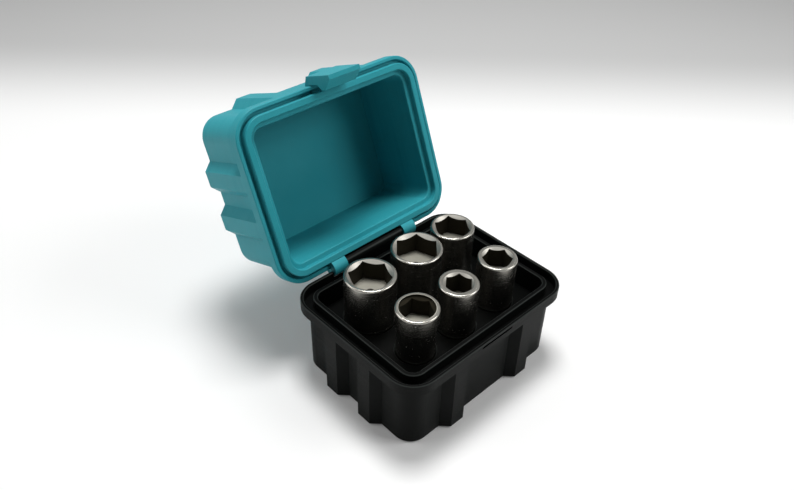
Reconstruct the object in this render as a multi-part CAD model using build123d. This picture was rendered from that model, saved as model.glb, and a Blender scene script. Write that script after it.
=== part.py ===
from build123d import *
import math
import os

# A small rugged storage case in two printed half shells with a set of six
# square-drive sockets: a tub with a pocketed tray, an equally deep lid on a
# rear hinge, and a snap latch at the middle of the lid's front edge.
# Millimetres. X runs along the long sides, the front is -Y, Z is up and the
# origin is the middle of the tub's underside. The lid is drawn shut and is
# then turned back on its hinge by open_angle.

# half shells
case_length = 100.0
case_width = 78.4
base_height = 39.5
lid_height = 39.5
lid_proud = 1.1
corner_radius = 12.5
wall = 4.0
overhang = 3.8
flange_height = 5.2
floor_thickness = 3.0
roof_thickness = 3.0
foot_chamfer = 0.8
edge_chamfer = 0.35

# rim of the tub: outer lip, groove and inner ridge
lip_width = 1.5
groove_width = 4.3
groove_depth = 4.5

# rim of the lid: outer lip, groove, tongue and a ledge set back from the lip
lid_lip_width = 1.85
lid_groove_depth = 2.0
tongue_width = 3.0
tongue_height = 1.8
tongue_side_gap = 0.85
tongue_chamfer = 0.3
ledge_recess = 0.9
closed_gap = 0.1

# outside ribs, two on each side
rib_width = 7.5
rib_root = 0.5
rib_spacing_long = 42.4
rib_spacing_short = 21.4

# rear hinge
open_angle = 112.0
axis_offset = 1.0
axis_rise = 0.6
knuckle_radius = 3.9
knuckle_length = 7.6
web_height = 5.2
web_slant = 30.0
barrel_radius = 2.9
barrel_length = 35.0
barrel_root = 1.0
hinge_gap = 0.3
pin_diameter = 2.0
pin_run_fit = 0.05
pin_press_fit = 0.02
knuckle_end_wall = 1.2
stop_length = 4.6
stop_thickness = 1.6
stop_gap = 0.05

# snap latch on the front edge of the lid
latch_width = 17.0
latch_thickness = 3.9
latch_face_gap = 0.2
latch_length = 14.6
latch_root_radius = 1.9
latch_root_depth = 3.3
latch_root_height = 3.1
latch_side_gap = 0.25
latch_seat_gap = 0.2
latch_hook_reach = 1.2
latch_hook_gap = 0.3
latch_hook_thickness = 2.4
latch_tip_height = 1.9
latch_back_slope = 2.5
latch_pin_diameter = 1.75
latch_pin_grip = 6.0
latch_pin_end_gap = 0.2
finger_slot_length = 18.9
finger_slot_height = 1.1
finger_slot_depth = 0.8
finger_slot_drop = 1.5

# tray
deck_drop = 10.5
tray_side_gap = 0.3
tray_plate = 5.6
tray_skirt = 2.0
pocket_depth = 3.5
pocket_gap = 0.4

# sockets: across flats, outside diameter, drive end diameter, mouth relief, shift in Y, turn
socket_length = 28.0
drive_square = 9.6
drive_depth = 11.0
bore_radius = 2.0
hex_depth = 10.0
rim_round = 0.7
foot_round = 0.6
lead_in_margin = 0.35
lead_in_angle = 40.0
shoulder_drop = 9.5
shoulder_height = 1.4
socket_set = {
    "socket_17mm": (17.0, 23.2, 23.2, 0.0, 0.0, 69.0),
    "socket_18mm": (18.0, 23.6, 23.6, 0.0, 0.0, 47.0),
    "socket_15mm": (15.0, 20.4, 20.4, 0.0, 0.4, 57.0),
    "socket_13mm": (13.0, 18.9, 17.3, 1.2, 0.5, 64.0),
    "socket_11mm": (11.0, 17.8, 17.8, 0.0, -0.3, 42.0),
    "socket_12mm": (12.0, 17.8, 17.8, 0.0, 0.0, 74.0),
}

# the two rows, front and back, with their sockets from left to right: each pocket keeps
# least_land of the deck on both sides and the free deck is shared out from wall to wall
least_land = 0.75
front_row = ("socket_13mm", "socket_11mm", "socket_12mm")
front_row_shares = (0.3137, 0.1843, 0.2294, 0.2726)
back_row = ("socket_17mm", "socket_18mm", "socket_15mm")
back_row_shares = (0.3884, 0.2545, 0.0, 0.3571)
between_row_shares = (0.3333, 0.3805, 0.2862)

# places that several pieces share
rim_inset = overhang + wall
lid_face_z = base_height + closed_gap
back_y = case_width / 2
front_y = -case_width / 2
lid_front_y = front_y - lid_proud
lid_lip_end = lid_lip_width - lid_proud
tongue_start = lip_width + tongue_side_gap
tongue_end = tongue_start + tongue_width
axis_y = back_y + axis_offset
axis_z = base_height + axis_rise
knuckle_start = barrel_length / 2 + hinge_gap
knuckle_end = knuckle_start + knuckle_length
deck_z = base_height - deck_drop
socket_floor_z = deck_z - pocket_depth
tray_inset = rim_inset + tray_side_gap


def outline(inset, z):
    """Rounded rectangle inset from the tub's outline, or outside it if negative."""
    radius = corner_radius - inset
    return Pos(0, 0, z) * RectangleRounded(case_length - 2 * inset, case_width - 2 * inset, radius)


def slab(inset, z_low, z_high):
    return extrude(outline(inset, z_low), z_high - z_low)


def ring(inset_outer, inset_inner, z_low, z_high):
    return slab(inset_outer, z_low, z_high) - slab(inset_inner, z_low, z_high)


def tapered(inset_low, inset_high, z_low, z_high):
    """Slab whose inset changes evenly from z_low to z_high."""
    return loft([outline(inset_low, z_low), outline(inset_high, z_high)], ruled=True)


def prism_x(points, x_low, x_high):
    """Prism along X of an outline given as (y, z) points."""
    face = make_face(Polyline(*[(x_low, y, z) for y, z in points], close=True))
    return extrude(face, x_high - x_low, dir=(1, 0, 0))


def rod_x(radius, y, z, x_low, x_high):
    disc = Plane(origin=(x_low, y, z), z_dir=(1, 0, 0)) * Circle(radius)
    return extrude(disc, x_high - x_low)


def rib(center, along_x, side, proud, z_low, z_high):
    """One outside rib: flat face flush with the flange, flanks at 45 degrees."""
    half = rib_width / 2
    foot = half + overhang
    face = (case_width if along_x else case_length) / 2 + proud
    wall_face = face - overhang
    root = wall_face - rib_root
    points = [
        (center - foot, root),
        (center - foot, wall_face),
        (center - half, face),
        (center + half, face),
        (center + foot, wall_face),
        (center + foot, root),
    ]
    if along_x:
        points = [(a, side * b) for a, b in points]
    else:
        points = [(side * b, a) for a, b in points]
    footprint = make_face(Polyline(*[(x, y, z_low) for x, y in points], close=True))
    return extrude(footprint, z_high - z_low, dir=(0, 0, 1))


def ribs(proud, z_low, z_high):
    pieces = []
    for side in (-1, 1):
        for sign in (-1, 1):
            pieces.append(rib(sign * rib_spacing_long / 2, True, side, proud, z_low, z_high))
            pieces.append(rib(sign * rib_spacing_short / 2, False, side, proud, z_low, z_high))
    return pieces


def hinge_barrel():
    """Middle of the hinge on the tub, with the ledge that stops the open lid."""
    tilt = math.radians(open_angle)
    distance = axis_offset - lid_proud - stop_gap
    top_y = axis_y - distance * math.cos(tilt)
    top_z = axis_z + distance * math.sin(tilt)
    end_y = top_y + stop_length * math.sin(tilt)
    end_z = top_z + stop_length * math.cos(tilt)
    flange_low = base_height - flange_height
    ledge = [
        (back_y - barrel_root, base_height - edge_chamfer),
        (back_y - barrel_root, flange_low - barrel_root),
        (back_y, flange_low - barrel_root),
        (end_y, end_z - stop_thickness),
        (end_y, end_z),
        (top_y, top_z),
        (axis_y, base_height - edge_chamfer),
    ]
    half = barrel_length / 2
    return prism_x(ledge, -half, half) + rod_x(barrel_radius, axis_y, axis_z, -half, half)


def build_base():
    flange_low = base_height - flange_height
    bevel_low = flange_low - overhang
    body = slab(0, flange_low, base_height) + tapered(overhang, 0, bevel_low, flange_low)
    body += slab(overhang, 0, bevel_low)
    for piece in ribs(0, 0, flange_low):
        body += piece
    body = chamfer(body.faces().sort_by(Axis.Z)[0].outer_wire().edges(), foot_chamfer)
    body -= slab(rim_inset, floor_thickness, base_height)
    body -= ring(lip_width, lip_width + groove_width, base_height - groove_depth, base_height)
    rim_edges = [e for e in body.edges() if abs(e.bounding_box().min.Z - base_height) < 1e-4]
    body = chamfer(rim_edges, edge_chamfer)
    # scoops in which the knuckles of the lid turn
    for side in (-1, 1):
        low = knuckle_start - hinge_gap
        high = knuckle_end + hinge_gap
        ends = (low, high) if side > 0 else (-high, -low)
        body -= rod_x(knuckle_radius + hinge_gap, axis_y, axis_z, *ends)
    body += hinge_barrel()
    body -= rod_x(pin_diameter / 2 + pin_press_fit, axis_y, axis_z, -barrel_length, barrel_length)
    slot_z = base_height - finger_slot_drop
    slot_plane = Plane(origin=(0, front_y, slot_z), x_dir=(1, 0, 0), z_dir=(0, -1, 0))
    slot = extrude(slot_plane * SlotOverall(finger_slot_length, finger_slot_height), -finger_slot_depth)
    return body - slot


def lowest_edges(piece, z):
    return [e for e in piece.edges() if abs(e.bounding_box().max.Z - z) < 1e-4]


def shut_lid_shell():
    """Lid on the shut tub, without its knuckles and latch seat."""
    face = lid_face_z
    flange_high = face + flange_height
    bevel_high = flange_high + overhang
    top = face + lid_height
    wall_inset = overhang - lid_proud
    groove_top = face + lid_groove_depth
    ledge_face = face + ledge_recess
    body = slab(-lid_proud, face, flange_high) + tapered(-lid_proud, wall_inset, flange_high, bevel_high)
    body += slab(wall_inset, bevel_high, top)
    for piece in ribs(lid_proud, flange_high, top):
        body += piece
    body = chamfer(body.faces().sort_by(Axis.Z)[-1].outer_wire().edges(), foot_chamfer)
    body -= slab(rim_inset, face, top - roof_thickness)
    body -= slab(lid_lip_end, face, groove_top)
    body = chamfer(lowest_edges(body, face), edge_chamfer)
    tongue = ring(tongue_start, tongue_end, face - tongue_height, groove_top)
    body += chamfer(lowest_edges(tongue, face - tongue_height), tongue_chamfer)
    body += ring(tongue_end, rim_inset, ledge_face, groove_top)
    body -= tapered(rim_inset - edge_chamfer, rim_inset, ledge_face, ledge_face + edge_chamfer)
    # room for the hinge barrel of the tub
    return body - rod_x(barrel_radius + hinge_gap, axis_y, axis_z, -knuckle_start, knuckle_start)


def knuckle(side):
    """Round knuckle under the lid's rear flange, bridged to the flange."""
    low, high = (knuckle_start, knuckle_end) if side > 0 else (-knuckle_end, -knuckle_start)
    rear_y = back_y + lid_proud
    slant = math.radians(web_slant)
    web = [
        (back_y - barrel_root, lid_face_z + edge_chamfer),
        (back_y - barrel_root, lid_face_z + web_height),
        (rear_y, lid_face_z + web_height),
        (axis_y + knuckle_radius * math.cos(slant), axis_z + knuckle_radius * math.sin(slant)),
        (axis_y, axis_z),
    ]
    return rod_x(knuckle_radius, axis_y, axis_z, low, high) + prism_x(web, low, high)


def front(outward, height):
    """(y, z) of a point given outward of the lid's front face and above the lid's rim."""
    return (lid_front_y - outward, lid_face_z + height)


def build_shut_lid():
    body = shut_lid_shell()
    for side in (-1, 1):
        body += knuckle(side)
    bore = pin_diameter / 2 + pin_run_fit
    body -= rod_x(bore, axis_y, axis_z, -(knuckle_end - knuckle_end_wall), knuckle_end + hinge_gap)
    # seat of the latch root and its pin bore
    half = latch_width / 2 + latch_side_gap
    seat_low = latch_root_height - latch_root_radius - latch_seat_gap
    seat_high = flange_height + overhang
    seat_depth = latch_root_depth + latch_root_radius + latch_seat_gap
    mouth = latch_thickness
    seat = [
        front(mouth, seat_low),
        front(-seat_depth, seat_low),
        front(-seat_depth, seat_high),
        front(mouth, seat_high),
    ]
    body -= prism_x(seat, -half, half)
    y, z = front(-latch_root_depth, latch_root_height)
    reach = half + latch_pin_grip
    return body - rod_x(latch_pin_diameter / 2 + pin_press_fit, y, z, -reach, reach)


def build_shut_latch():
    """Snap latch: root on its pin, arm past the tub's flange, hook under the bevel."""
    face = latch_face_gap
    outer = face + latch_thickness
    root_top = latch_root_height + latch_root_radius
    root_low = latch_root_height - latch_root_radius
    # heights of the hook, kept latch_hook_gap off the tub's bevel
    bevel = lid_proud - closed_gap - flange_height - latch_hook_gap * math.sqrt(2)
    reach = latch_hook_reach + lid_proud
    nose_top = bevel - reach
    nose_low = nose_top - latch_hook_thickness
    tip = -latch_length
    profile = [
        front(-latch_root_depth, root_top),
        front(face, root_top),
        front(outer, root_top - latch_back_slope),
        front(outer, tip),
        front(outer - latch_tip_height, tip),
        front(-reach, nose_low),
        front(-reach, nose_top),
        front(face, bevel + face),
        front(face, root_low),
        front(-latch_root_depth, root_low),
    ]
    half = latch_width / 2
    y, z = front(-latch_root_depth, latch_root_height)
    body = prism_x(profile, -half, half) + rod_x(latch_root_radius, y, z, -half, half)
    return body - rod_x(latch_pin_diameter / 2 + pin_run_fit, y, z, -half, half)


def build_shut_latch_pin():
    y, z = front(-latch_root_depth, latch_root_height)
    half = latch_width / 2 + latch_side_gap + latch_pin_grip - latch_pin_end_gap
    return rod_x(latch_pin_diameter / 2, y, z, -half, half)


def build_hinge_pin():
    low = -(knuckle_end - knuckle_end_wall) + pin_run_fit
    return rod_x(pin_diameter / 2, axis_y, axis_z, low, knuckle_end)


def turned_open(piece):
    return piece.rotate(Axis((0, axis_y, axis_z), (1, 0, 0)), -open_angle)


def spread(overall, widths, shares):
    """Middles of pockets set in a line, with least_land beside each and the rest by shares."""
    rest = overall - sum(widths) - len(shares) * least_land
    place = -overall / 2
    middles = []
    for width, share in zip(widths, shares):
        place += least_land + share * rest
        middles.append(place + width / 2)
        place += width
    return middles


def pocket_width(name):
    flats, outside, drive_end, relief, shift, turn = socket_set[name]
    return drive_end + 2 * pocket_gap


def socket_places():
    """Middle (x, y) of each socket on the tray."""
    rows = ((front_row, front_row_shares), (back_row, back_row_shares))
    row_widths = [max(pocket_width(name) for name in names) for names, shares in rows]
    row_middles = spread(case_width - 2 * tray_inset, row_widths, between_row_shares)
    places = {}
    for (names, shares), y in zip(rows, row_middles):
        widths = [pocket_width(name) for name in names]
        for name, x in zip(names, spread(case_length - 2 * tray_inset, widths, shares)):
            flats, outside, drive_end, relief, shift, turn = socket_set[name]
            places[name] = (x, y + shift)
    return places


def build_tray(places):
    plate_low = deck_z - tray_plate
    body = slab(tray_inset, plate_low, deck_z)
    body += ring(tray_inset, tray_inset + tray_skirt, floor_thickness, plate_low)
    for name, (x, y) in places.items():
        body -= extrude(Pos(x, y, socket_floor_z) * Circle(pocket_width(name) / 2), pocket_depth)
    deck_edges = [e for e in body.edges() if abs(e.bounding_box().min.Z - deck_z) < 1e-4]
    return chamfer(deck_edges, edge_chamfer)


def turned_blank(outside, drive_end):
    """Socket outline before any hole is made, with a shoulder if its drive end is slimmer."""
    body = extrude(Circle(drive_end / 2), socket_length)
    if drive_end < outside:
        low = socket_length - shoulder_drop
        high = low + shoulder_height
        lower_end = (Align.CENTER, Align.CENTER, Align.MIN)
        body += Pos(0, 0, low) * Cone(drive_end / 2, outside / 2, shoulder_height, align=lower_end)
        body += extrude(Pos(0, 0, high) * Circle(outside / 2), socket_length - high)
    body = fillet(body.edges().sort_by(Axis.Z)[-1], rim_round)
    return fillet(body.edges().sort_by(Axis.Z)[0], foot_round)


def build_socket(name, x, y):
    """One hexagon socket, hexagon up, with its lead-in, bore and drive square."""
    flats, outside, drive_end, relief, shift, turn = socket_set[name]
    body = turned_blank(outside, drive_end)
    hexagon = Rot(0, 0, turn) * RegularPolygon(flats / 2, 6, major_radius=False)
    body -= extrude(Pos(0, 0, socket_length - hex_depth) * hexagon, hex_depth)
    slope = math.tan(math.radians(lead_in_angle))
    mouth = flats / math.sqrt(3) + lead_in_margin
    cone_height = (mouth - flats / 2) * slope
    upper_end = (Align.CENTER, Align.CENTER, Align.MAX)
    body -= Pos(0, 0, socket_length - relief) * Cone(flats / 2, mouth, cone_height, align=upper_end)
    if relief > 0:
        body -= Pos(0, 0, socket_length) * Cylinder(mouth, relief, align=upper_end)
    body -= extrude(Circle(bore_radius), socket_length)
    body -= extrude(Rot(0, 0, turn) * Rectangle(drive_square, drive_square), drive_depth)
    return Pos(x, y, socket_floor_z) * body


def save(name, piece):
    solids = piece.solids()
    if len(solids) != 1:
        raise ValueError(f"{name} is {len(solids)} solids")
    solid = solids[0]
    solid.label = name
    export_step(solid, f"parts/{name}.step")


os.makedirs("parts", exist_ok=True)
save("base_shell", build_base())
places = socket_places()
save("socket_tray", build_tray(places))
save("hinge_pin", build_hinge_pin())
save("lid_shell", turned_open(build_shut_lid()))
save("snap_latch", turned_open(build_shut_latch()))
save("latch_pin", turned_open(build_shut_latch_pin()))
for name, (x, y) in places.items():
    save(name, build_socket(name, x, y))
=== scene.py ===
import math

import bpy
import numpy as np
from mathutils import Matrix, Vector


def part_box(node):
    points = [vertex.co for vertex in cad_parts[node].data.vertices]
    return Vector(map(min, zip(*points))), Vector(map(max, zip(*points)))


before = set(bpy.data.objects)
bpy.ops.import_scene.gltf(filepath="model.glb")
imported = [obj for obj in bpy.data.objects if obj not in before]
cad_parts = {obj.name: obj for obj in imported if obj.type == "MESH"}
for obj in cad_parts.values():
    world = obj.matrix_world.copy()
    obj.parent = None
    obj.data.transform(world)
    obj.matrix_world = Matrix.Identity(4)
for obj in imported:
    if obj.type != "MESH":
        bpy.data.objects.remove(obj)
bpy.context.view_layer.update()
print("case loaded with", len(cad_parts), "parts")


# One output of a shader node. A sum written with it adds Math nodes.
class Signal:
    def __init__(self, finish, socket):
        self.finish = finish
        self.socket = socket

    def maths(self, operation, *terms):
        return self.finish.node("ShaderNodeMath", {"operation": operation}, dict(enumerate(terms)))

    def __add__(self, other):
        return self.maths("ADD", self, other)

    def __radd__(self, other):
        return self.maths("ADD", other, self)

    def __sub__(self, other):
        return self.maths("SUBTRACT", self, other)

    def __rsub__(self, other):
        return self.maths("SUBTRACT", other, self)

    def __mul__(self, other):
        return self.maths("MULTIPLY", self, other)

    def __rmul__(self, other):
        return self.maths("MULTIPLY", other, self)

    def __truediv__(self, other):
        return self.maths("DIVIDE", self, other)

    def __abs__(self):
        return self.maths("ABSOLUTE", self)


# The nodes of a material, or of the room round the case, while they are laid out.
class Finish:
    def __init__(self, owner):
        owner.use_nodes = True
        self.owner = owner
        self.tree = owner.node_tree
        self.tree.nodes.clear()

    def node(self, kind, settings=None, inputs=None, output=0):
        made = self.tree.nodes.new(kind)
        for name, value in (settings or {}).items():
            setattr(made, name, value)
        for name, value in (inputs or {}).items():
            if isinstance(value, Signal):
                self.tree.links.new(value.socket, made.inputs[name])
            else:
                made.inputs[name].default_value = value
        return Signal(self, made.outputs[output]) if len(made.outputs) else None

    # how far a place lies along a direction
    def along(self, place, direction):
        return self.node("ShaderNodeVectorMath", {"operation": "DOT_PRODUCT"},
                         {0: place, 1: direction}, "Value")

    def stretched(self, first, second, third):
        return self.node("ShaderNodeCombineXYZ", None, {0: first, 1: second, 2: third})

    def noise(self, place, scale, detail=2.0, roughness=0.5):
        return self.node("ShaderNodeTexNoise", None,
                         {"Vector": place, "Scale": scale, "Detail": detail, "Roughness": roughness})

    # runs from newLow to newHigh while the signal runs from low to high
    def between(self, signal, low, high, newLow=0.0, newHigh=1.0, course="LINEAR"):
        return self.node("ShaderNodeMapRange", {"clamp": True, "interpolation_type": course},
                         {0: signal, 1: low, 2: high, 3: newLow, 4: newHigh})

    def blend(self, mask, first, second):
        return self.node("ShaderNodeMix", {"data_type": "RGBA"}, {0: mask, 6: first, 7: second}, 2)

    # 1 for rays from the camera, off a mirror or through glass, else 0
    def seen(self):
        straight = self.node("ShaderNodeLightPath", output="Is Camera Ray")
        mirrored = self.node("ShaderNodeLightPath", output="Is Glossy Ray")
        through = self.node("ShaderNodeLightPath", output="Is Transmission Ray")
        return straight.maths("MAXIMUM", straight, straight.maths("MAXIMUM", mirrored, through))

    def close(self, shader):
        isRoom = isinstance(self.owner, bpy.types.World)
        kind = "ShaderNodeOutputWorld" if isRoom else "ShaderNodeOutputMaterial"
        self.node(kind, None, {"Surface": shader})
        return self.owner


def rgb(red, green, blue):
    return (red, green, blue, 1.0)


openAngle = math.radians(112)
lidUp = (0.0, math.sin(openAngle), math.cos(openAngle))  # the lid's own upright, laid back
lidAcross = (0.0, -math.cos(openAngle), math.sin(openAngle))

# lengths in metres, pattern scales per metre
printing = {
    "layer": 0.0002,
    "nozzleStroke": 0.00045,
    "streakAlong": 30,
    "streakUp": 1600,
    "bandAlong": 8,
    "bandUp": 420,
    "waves": 55.0,
    "specks": 2600.0,
}

tubPlastic = {
    "colour": rgb(0.0034, 0.0042, 0.0038),
    "pale": rgb(0.0058, 0.0068, 0.0062),
    # painted shade for the flat tops and a painted highlight for the upward chamfers
    "paintedTopShade": 0.4,
    "paintedChamferHighlight": rgb(0.030, 0.034, 0.032),
    "roughness": 0.40,
    "specular": 0.05,
    "layerDepth": 0.000012,
    "waveDepth": 0.00004,
}

lidPlastic = {
    "colour": rgb(0.024, 0.300, 0.352),
    "pale": rgb(0.044, 0.350, 0.405),
    "roughness": 0.42,
    "specular": 0.12,
    "layerDepth": 0.000010,
    "waveDepth": 0.00003,
}


# A bead is 4t(1-t) high, where t runs from 0 to 1 across a layer or a stroke of the nozzle.
# Layers stack along "up" and show on the walls. Slanted strokes show on the flat tops.
def printedPlastic(name, look, up, across):
    finish = Finish(bpy.data.materials.new(name))
    coordinates = finish.node("ShaderNodeTexCoord", output="Object")
    normal = finish.node("ShaderNodeTexCoord", output="Normal")
    side = finish.along(coordinates, (1.0, 0.0, 0.0))
    depth = finish.along(coordinates, across)
    height = finish.along(coordinates, up)
    facing = finish.along(normal, up)

    layers = height / printing["layer"]
    inLayer = layers.maths("FRACT", layers)
    bead = inLayer * (1 - inLayer) * 4
    layerNumber = layers.maths("FLOOR", layers)
    jitter = finish.node("ShaderNodeTexWhiteNoise", {"noise_dimensions": "1D"}, {"W": layerNumber})

    strokes = (side + depth) / printing["nozzleStroke"]
    inStroke = strokes.maths("FRACT", strokes)
    stroke = inStroke * (1 - inStroke) * 4
    flat = finish.between(abs(facing), 0.93, 0.97)
    relief = flat * stroke + (1 - flat) * (bead + jitter * 0.5)

    def drawnOut(along, up):
        return finish.noise(finish.stretched(side * along, depth * along, height * up), 1.0, 3.0)

    streaks = drawnOut(printing["streakAlong"], printing["streakUp"])
    bands = drawnOut(printing["bandAlong"], printing["bandUp"])
    waves = finish.noise(coordinates, printing["waves"])
    specks = finish.noise(coordinates, printing["specks"])

    tone = finish.between(streaks * 0.45 + bands * 0.35 + waves * 0.2, 0.36, 0.64)
    colour = finish.blend(tone * 0.75, look["colour"], look["pale"])
    # painted shade: faces lying flat across the layers are darkened to a share of the colour
    if "paintedTopShade" in look:
        dim = [look["paintedTopShade"] * channel for channel in look["colour"][:3]]
        colour = finish.blend(flat, colour, rgb(*dim))
        # painted highlight: upward chamfers near 45 degrees are lightened
        edge = finish.between(facing, 0.55, 0.65) * finish.between(facing, 0.76, 0.84, 1.0, 0.0)
        colour = finish.blend(edge, colour, look["paintedChamferHighlight"])
    roughness = finish.between(streaks * 0.6 + specks * 0.4, 0.3, 0.7,
                               look["roughness"] - 0.07, look["roughness"] + 0.09)

    wavy = finish.node("ShaderNodeBump", None, {"Strength": 1.0, "Distance": look["waveDepth"],
                                                "Height": bands * 0.6 + waves * 0.8})
    fine = finish.node("ShaderNodeBump", None, {"Strength": 0.7, "Distance": look["layerDepth"],
                                                "Height": relief, "Normal": wavy})
    return finish.close(finish.node("ShaderNodeBsdfPrincipled", None, {
        "Base Color": colour, "Roughness": roughness, "Normal": fine,
        "Specular IOR Level": look["specular"]}))


tubPaint = printedPlastic("printed_black", tubPlastic, (0.0, 0.0, 1.0), (0.0, 1.0, 0.0))
lidPaint = printedPlastic("printed_teal", lidPlastic, lidUp, lidAcross)
print("printed plastics mixed")


# lengths in metres, pattern scales per metre
socketSteel = {
    "colour": rgb(0.50, 0.48, 0.435),
    "dull": rgb(0.36, 0.345, 0.31),
    "stain": rgb(0.12, 0.105, 0.085),
    "roughness": 0.22,
    "paintedBoreShade": rgb(0.030, 0.026, 0.018),  # painted shade on the walls of the hexagon and the bore
    "forged": rgb(0.40, 0.385, 0.325),  # floor of the hexagon
    "forgedMetal": 0.45,
    "turningDepth": 0.0000008,
    "turningMarks": 2600,
    "smears": 140.0,
    "pits": 1500.0,
}

socketFlats = {"socket_17mm": 0.017, "socket_18mm": 0.018, "socket_15mm": 0.015,
               "socket_13mm": 0.013, "socket_11mm": 0.011, "socket_12mm": 0.012}
relievedSockets = ("socket_13mm",)
mouthMargin = 0.00045  # how far a relieved mouth reaches past the hexagon's corners


# Turning marks follow height up the wall and radius across the end faces. Inside the
# reach of the hexagon's corners the upright walls get a painted shade and the floor is matt.
def turnedSteel(name, look, centre, flats, relieved):
    finish = Finish(bpy.data.materials.new(name))
    coordinates = finish.node("ShaderNodeTexCoord", output="Object")
    normal = finish.node("ShaderNodeTexCoord", output="Normal")
    local = finish.node("ShaderNodeMapping", {"vector_type": "POINT"},
                        {"Vector": coordinates, "Location": (-centre[0], -centre[1], 0.0)})
    x = finish.along(local, (1.0, 0.0, 0.0))
    y = finish.along(local, (0.0, 1.0, 0.0))
    height = finish.along(local, (0.0, 0.0, 1.0))
    radius = x.maths("SQRT", x * x + y * y)
    turn = x.maths("ARCTAN2", y, x)
    facing = finish.along(normal, (0.0, 0.0, 1.0))
    reach = flats / math.sqrt(3) + (mouthMargin if relieved else 0.0)
    wallLimit = 0.86 if relieved else 0.40  # the lead-in of a relieved socket gets the painted shade as well
    inside = finish.between(radius, reach + 0.00005, reach + 0.00015, 1.0, 0.0)
    upright = finish.between(abs(facing), wallLimit - 0.05, wallLimit + 0.05, 1.0, 0.0)
    level = finish.between(facing, 0.90, 0.97)
    wallOrFloor = inside * finish.between(upright + level, 0.4, 0.6)
    leadIn = finish.between(radius, reach + 0.0004, reach + 0.0005, 1.0, 0.0) * (1 - level)

    fineness = look["turningMarks"]
    marks = finish.noise(finish.stretched(turn * 0.35, radius * fineness, height * fineness), 1.0, 3.0)
    smears = finish.noise(local, look["smears"], 3.0, 0.6)
    pits = finish.noise(local, look["pits"])
    tone = finish.between(marks * 0.5 + smears * 0.5, 0.35, 0.62)
    grime = finish.between(smears * 0.7 + pits * 0.3, 0.58, 0.76)
    clean = finish.blend(tone, look["dull"], look["colour"])
    outside = finish.blend(grime * 0.35, clean, look["stain"])
    # painted shade on the upright walls inside the hexagon's reach, matt floor below
    within = finish.blend(level * (1 - grime * 0.4), look["paintedBoreShade"], look["forged"])
    colour = finish.blend(wallOrFloor, outside, within)
    polish = finish.between(marks * 0.5 + pits * 0.5, 0.3, 0.7,
                            look["roughness"] - 0.02, look["roughness"] + 0.06)
    roughness = polish + wallOrFloor * 0.2 + leadIn * 0.25
    metal = 1 - inside * level * (1 - look["forgedMetal"])
    bump = finish.node("ShaderNodeBump", None, {"Strength": 0.8, "Distance": look["turningDepth"],
                                                "Height": marks + pits * 0.1})
    return finish.close(finish.node("ShaderNodeBsdfPrincipled", None, {
        "Base Color": colour, "Roughness": roughness, "Metallic": metal, "Normal": bump}))


def dress(nodeName, material):
    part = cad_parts[nodeName]
    part.data.materials.clear()
    part.data.materials.append(material)


for nodeName in ("base_shell", "socket_tray", "hinge_pin"):
    dress(nodeName, tubPaint)
for nodeName in ("lid_shell", "snap_latch", "latch_pin"):
    dress(nodeName, lidPaint)
for nodeName, flats in socketFlats.items():
    low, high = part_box(nodeName)
    middle = [(a + b) / 2 for a, b in zip(low, high)]
    relieved = nodeName in relievedSockets
    dress(nodeName, turnedSteel("steel_" + nodeName, socketSteel, middle, flats, relieved))
print("steel turned for the sockets")


table = {
    "reach": 2.4,
    "near": rgb(0.90, 0.90, 0.895),
    "glow": 0.075,
    "fadeStart": 0.205,
    "fadeEnd": 0.35,
    "farLevel": 0.61,
    "edgeCells": 24,
}

viewAzimuth = math.radians(43.902)
viewElevation = math.radians(38.292)
viewRoll = math.radians(1.4275)
awayFromView = (math.sin(viewAzimuth), math.cos(viewAzimuth), 0.0)


# Flat square z = 0 over two parameters, each from -reach/2 to reach/2. Its far side is darker with
# painted shade.
def tableTop():
    steps = np.linspace(-table["reach"] / 2, table["reach"] / 2, table["edgeCells"] + 1)
    across, along = np.meshgrid(steps, steps)
    points = np.stack([across.ravel(), along.ravel(), np.zeros(across.size)], axis=1)
    count = len(steps)
    corner = (np.arange(count - 1)[:, None] * count + np.arange(count - 1)).ravel()
    faces = np.stack([corner, corner + 1, corner + count + 1, corner + count], axis=1)
    mesh = bpy.data.meshes.new("table_top")
    mesh.from_pydata(points.tolist(), [], faces.tolist())
    mesh.update()
    sheet = bpy.data.objects.new("table_top", mesh)
    bpy.context.scene.collection.objects.link(sheet)
    finish = Finish(bpy.data.materials.new("white_card"))
    coordinates = finish.node("ShaderNodeTexCoord", output="Object")
    away = finish.along(coordinates, awayFromView)
    # painted shade: the card's colour darkens away from the view
    fade = finish.between(away, table["fadeStart"], table["fadeEnd"], course="SMOOTHSTEP")
    far = rgb(*[table["farLevel"] * channel for channel in table["near"][:3]])
    shade = finish.blend(fade, table["near"], far)
    card = finish.node("ShaderNodeBsdfDiffuse", None, {"Color": shade})
    glow = finish.node("ShaderNodeEmission", None, {"Color": shade, "Strength": table["glow"]})
    lit = finish.node("ShaderNodeAddShader", None, {0: card, 1: glow})
    top = finish.node("ShaderNodeMixShader", None, {0: finish.seen(), 1: card, 2: lit})
    mesh.materials.append(finish.close(top))


tableTop()

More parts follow.
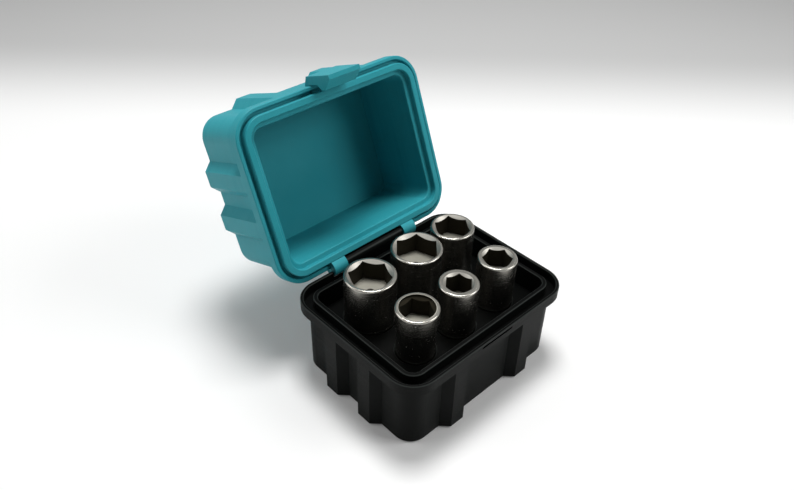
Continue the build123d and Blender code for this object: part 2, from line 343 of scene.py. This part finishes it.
lamps = {
    "overhead": {"place": (0.115, 0.135, 0.85), "aimHeight": 0.03, "size": (0.27, 0.27), "watts": 5.6},
    "leftPanel": {"place": (-0.47, 0.45, 0.46), "aimHeight": 0.05, "size": (0.50, 0.45), "watts": 1.5},
    "rightPanel": {"place": (0.42, -0.46, 0.56), "aimHeight": 0.05, "size": (0.40, 0.40), "watts": 2.6},
}

for lampName, lamp in lamps.items():
    light = bpy.data.lights.new(lampName, "AREA")
    light.shape = "RECTANGLE"
    light.size, light.size_y = lamp["size"]
    light.energy = lamp["watts"]
    holder = bpy.data.objects.new(lampName, light)
    toward = Vector((0.0, 0.0, lamp["aimHeight"])) - Vector(lamp["place"])
    turned = toward.to_track_quat("-Z", "Y").to_matrix().to_4x4()
    holder.matrix_world = Matrix.Translation(lamp["place"]) @ turned
    bpy.context.scene.collection.objects.link(holder)

room = {
    "colour": rgb(0.98, 1.0, 1.0),
    "fill": 0.08,  # light that the room gives the object
    "backdrop": 0.42,  # how bright the room looks, straight or in a reflection
}


def roomWalls():
    walls = Finish(bpy.data.worlds.new("room"))
    strength = room["fill"] + walls.seen() * (room["backdrop"] - room["fill"])
    glow = walls.node("ShaderNodeBackground", None, {"Color": room["colour"], "Strength": strength})
    bpy.context.scene.world = walls.close(glow)


roomWalls()
print("table and lamps set")

camera = {
    "target": (0.0097166, 0.0331474, 0.0396),
    "distance": 0.358136,
    "lens": 33.883,
    "filmWidth": 36.0,
}

lookBack = Vector((-math.cos(viewElevation) * math.sin(viewAzimuth),
                   -math.cos(viewElevation) * math.cos(viewAzimuth),
                   math.sin(viewElevation)))
level = (-lookBack).cross(Vector((0, 0, 1))).normalized()
rise = level.cross(-lookBack)
right = level * math.cos(viewRoll) + rise * math.sin(viewRoll)
top = rise * math.cos(viewRoll) - level * math.sin(viewRoll)
eye = bpy.data.cameras.new("photo_camera")
eye.sensor_width = camera["filmWidth"]
eye.lens = camera["lens"]
eye.clip_start = 0.01
eye.clip_end = 20.0
tripod = bpy.data.objects.new("photo_camera", eye)
pose = Matrix((right, top, lookBack)).transposed().to_4x4()
pose.translation = Vector(camera["target"]) + lookBack * camera["distance"]
tripod.matrix_world = pose
bpy.context.scene.collection.objects.link(tripod)
bpy.context.scene.camera = tripod
bpy.context.scene.view_settings.view_transform = "Standard"
print("camera placed")
